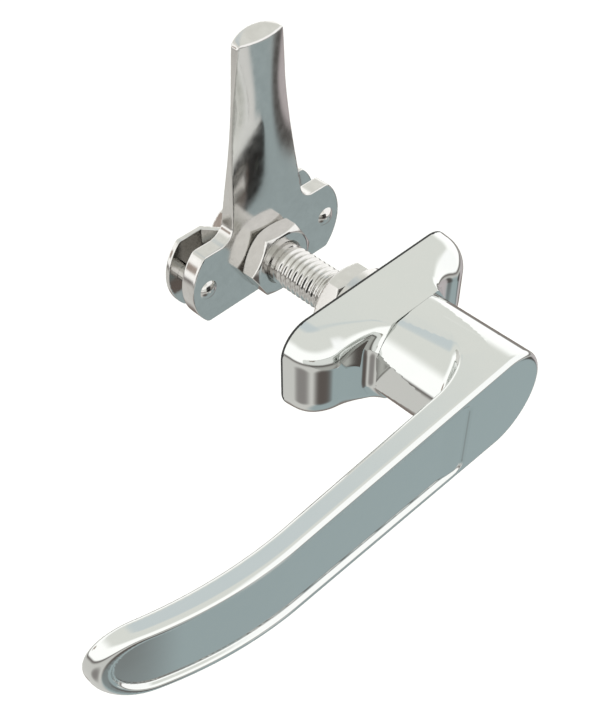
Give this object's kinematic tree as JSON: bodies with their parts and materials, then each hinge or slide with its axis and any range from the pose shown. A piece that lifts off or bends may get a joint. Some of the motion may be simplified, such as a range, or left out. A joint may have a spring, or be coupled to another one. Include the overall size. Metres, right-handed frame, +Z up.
{
  "type": "l-handle cam latch",
  "caption": "L-shaped lever handle on a flanged base that turns a threaded spindle with a cam tongue and rod pins, to latch a cabinet or vehicle door.",
  "frame": {"origin": "on the spindle axis at the gasket's back face, which lies on the door", "axes": "+Y along the spindle from the handle to the cam, +Z up along the tongue, the lever points to -X"},
  "size_m": [0.1219, 0.0819, 0.0681],
  "materials": {
    "chrome": "polished chrome on a zinc casting",
    "steel": "bright plated steel",
    "dark_steel": "plain spring steel",
    "rubber": "matt black"
  },
  "bodies": {
    "base": {"base": "chrome", "gasket": "rubber", "thrust_washer": "steel"},
    "handle": {"handle": "chrome", "spindle": "steel", "cross_pin": "dark_steel", "shaft_seal": "rubber", "disc_spring": "dark_steel", "retaining_nut": "steel", "jam_nut": "steel", "cam": "steel", "rod_bracket": "steel", "left_rod_pin": "steel", "right_rod_pin": "steel", "lock_washer": "dark_steel", "cam_nut": "steel"}
  },
  "joints": [
    {"name": "handle_turn", "type": "hinge", "parent": "base", "child": "handle", "pos_m": [0, 0, 0], "axis": [0, 1, 0], "range_deg": [-90, 0]}
  ]
}
